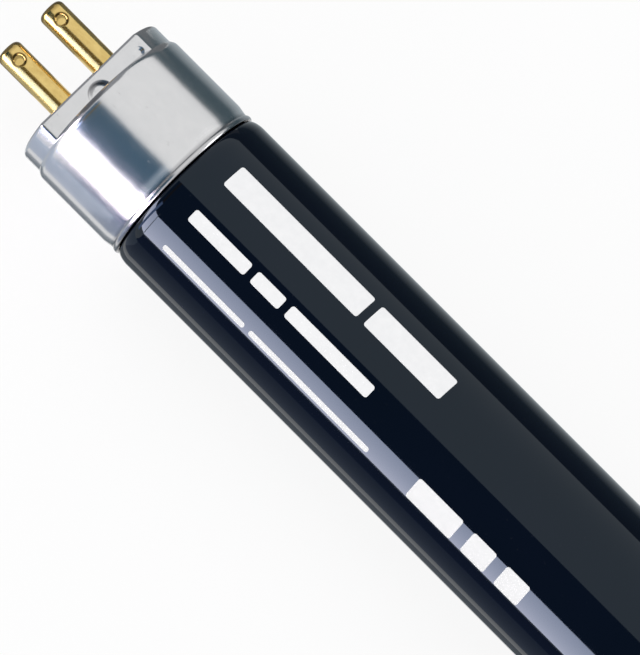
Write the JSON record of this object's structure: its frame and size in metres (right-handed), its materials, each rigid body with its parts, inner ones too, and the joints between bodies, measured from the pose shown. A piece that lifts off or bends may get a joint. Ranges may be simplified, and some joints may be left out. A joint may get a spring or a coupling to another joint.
{
  "type": "black light fluorescent tube",
  "caption": "Slim straight fluorescent tube of opaque black glass that gives off ultraviolet light, with a drawn aluminium cap and brass contact pins at each end.",
  "frame": {"origin": "middle of the tube, on its axis", "axes": "+X along the tube, from the left cap to the right cap; the two pins of each cap lie side by side along Y, and the flats of the caps face +Z and -Z"},
  "size_m": [0.302, 0.0156, 0.0156],
  "materials": {
    "black_glass": "smooth glossy black glass with a faint blue violet cast",
    "cap_aluminium": "bright drawn aluminium with fine draw lines and light scuffs",
    "pin_brass": "bright drawn brass, slightly tarnished",
    "insulator_phenolic": "dark brown moulded phenolic",
    "basing_cement": "cured tan basing cement, matt and grainy",
    "lead_wire_metal": "dull nickel iron lead wire",
    "white_ink": "matt white ink, printed on the glass in plain marks"
  },
  "bodies": {
    "root": {"glass_tube": "black_glass", "left_cap_shell": "cap_aluminium", "left_insulator": "insulator_phenolic", "left_cement_ring": "basing_cement", "left_front_pin": "pin_brass", "left_front_lead_wire": "lead_wire_metal", "left_back_pin": "pin_brass", "left_back_lead_wire": "lead_wire_metal", "right_cap_shell": "cap_aluminium", "right_insulator": "insulator_phenolic", "right_cement_ring": "basing_cement", "right_front_pin": "pin_brass", "right_front_lead_wire": "lead_wire_metal", "right_back_pin": "pin_brass", "right_back_lead_wire": "lead_wire_metal"}
  },
  "joints": []
}
